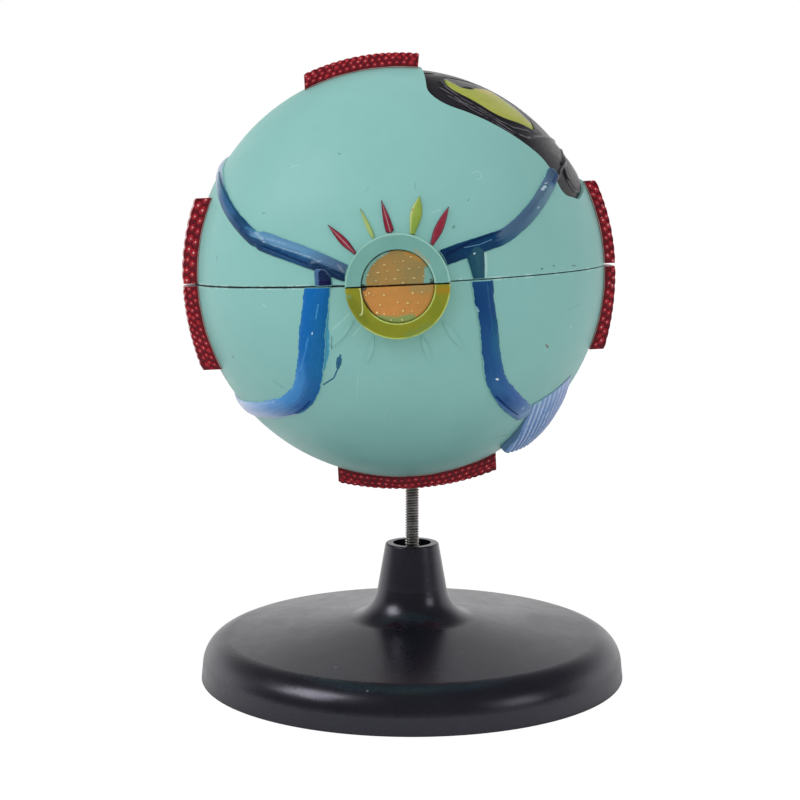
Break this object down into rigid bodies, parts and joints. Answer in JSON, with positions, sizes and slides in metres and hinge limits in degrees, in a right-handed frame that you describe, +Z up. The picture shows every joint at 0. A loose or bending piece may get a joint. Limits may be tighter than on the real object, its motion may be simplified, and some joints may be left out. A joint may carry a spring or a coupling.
{
  "type": "eye anatomy model",
  "caption": "Take-apart human eyeball teaching model, five times life size, on a threaded rod and round stand; the upper half lifts off, with the vitreous body and lens.",
  "frame": {"origin": "on the axis of the rod and stand, in the plane that the stand rests on", "axes": "+Z up, +Y to the front of the eye (the cornea), +X to the lateral side of this right eye, to the right when it is seen from behind"},
  "size_m": [0.1304, 0.133, 0.1841],
  "materials": {
    "black_plastic": "moulded black, satin",
    "steel": "rolled thread",
    "brass": "turned",
    "sclera_teal": "painted teal, satin",
    "choroid_black": "painted black, glossy",
    "retina_yellow": "painted yellow-green",
    "retina_orange": "painted orange",
    "ciliary_brown": "painted brown",
    "iris_brown": "painted brown",
    "clear_plastic": "clear, polished",
    "muscle_red": "painted dark red, beaded",
    "vein_blue": "painted blue",
    "oblique_violet": "painted violet blue",
    "nerve_yellow": "painted olive yellow",
    "nerve_core_orange": "painted orange, dotted"
  },
  "bodies": {
    "stand": {"stand_base": "black_plastic", "threaded_rod": "steel", "lower_washer": "steel", "lower_nut": "steel", "lock_nut": "steel"},
    "lower_half": {"threaded_insert": "brass", "sclera_lower": "sclera_teal", "locating_pins": "clear_plastic", "choroid_lower": "choroid_black", "retina_lower": "retina_orange", "ciliary_body_lower": "ciliary_brown", "iris_lower": "iris_brown", "cornea_lower": "clear_plastic", "optic_nerve_sheath_lower": "nerve_yellow", "optic_nerve_core_lower": "nerve_core_orange", "inferior_rectus": "muscle_red", "medial_rectus_lower": "muscle_red", "lateral_rectus_lower": "muscle_red", "inferior_oblique": "oblique_violet", "vortex_vein_lower_left": "vein_blue", "vortex_vein_lower_right": "vein_blue"},
    "upper_half": {"sclera_upper": "sclera_teal", "choroid_upper": "choroid_black", "retina_upper": "retina_orange", "choroid_window": "choroid_black", "retina_window": "retina_yellow", "ciliary_body_upper": "ciliary_brown", "iris_upper": "iris_brown", "cornea_upper": "clear_plastic", "optic_nerve_sheath_upper": "sclera_teal", "optic_nerve_core_upper": "nerve_core_orange", "superior_rectus": "muscle_red", "medial_rectus_upper": "muscle_red", "lateral_rectus_upper": "muscle_red", "vortex_vein_upper_left": "vein_blue", "vortex_vein_upper_right": "vein_blue", "ciliary_arteries": "muscle_red", "ciliary_nerves": "nerve_yellow"},
    "vitreous": {"vitreous_shell": "clear_plastic", "vitreous_front": "clear_plastic"},
    "lens": {"lens": "clear_plastic"}
  },
  "joints": [
    {"name": "eye_turn", "type": "hinge", "parent": "stand", "child": "lower_half", "pos_m": [0, 0, 0.06], "axis": [0, 0, 1], "range_deg": [-180, 180]},
    {"name": "upper_half_lift", "type": "slide", "parent": "lower_half", "child": "upper_half", "axis": [-0.045, 0, 0.999], "range_m": [0, 0.12]},
    {"name": "vitreous_lift", "type": "slide", "parent": "lower_half", "child": "vitreous", "axis": [-0.045, 0, 0.999], "range_m": [0, 0.06]},
    {"name": "lens_pull", "type": "slide", "parent": "vitreous", "child": "lens", "axis": [0, 1, 0], "range_m": [0, 0.0108]}
  ],
  "couplings": [
    {"joint": "vitreous_lift", "follows": "upper_half_lift", "ratio": 0.5},
    {"joint": "lens_pull", "follows": "upper_half_lift", "ratio": 0.09}
  ]
}
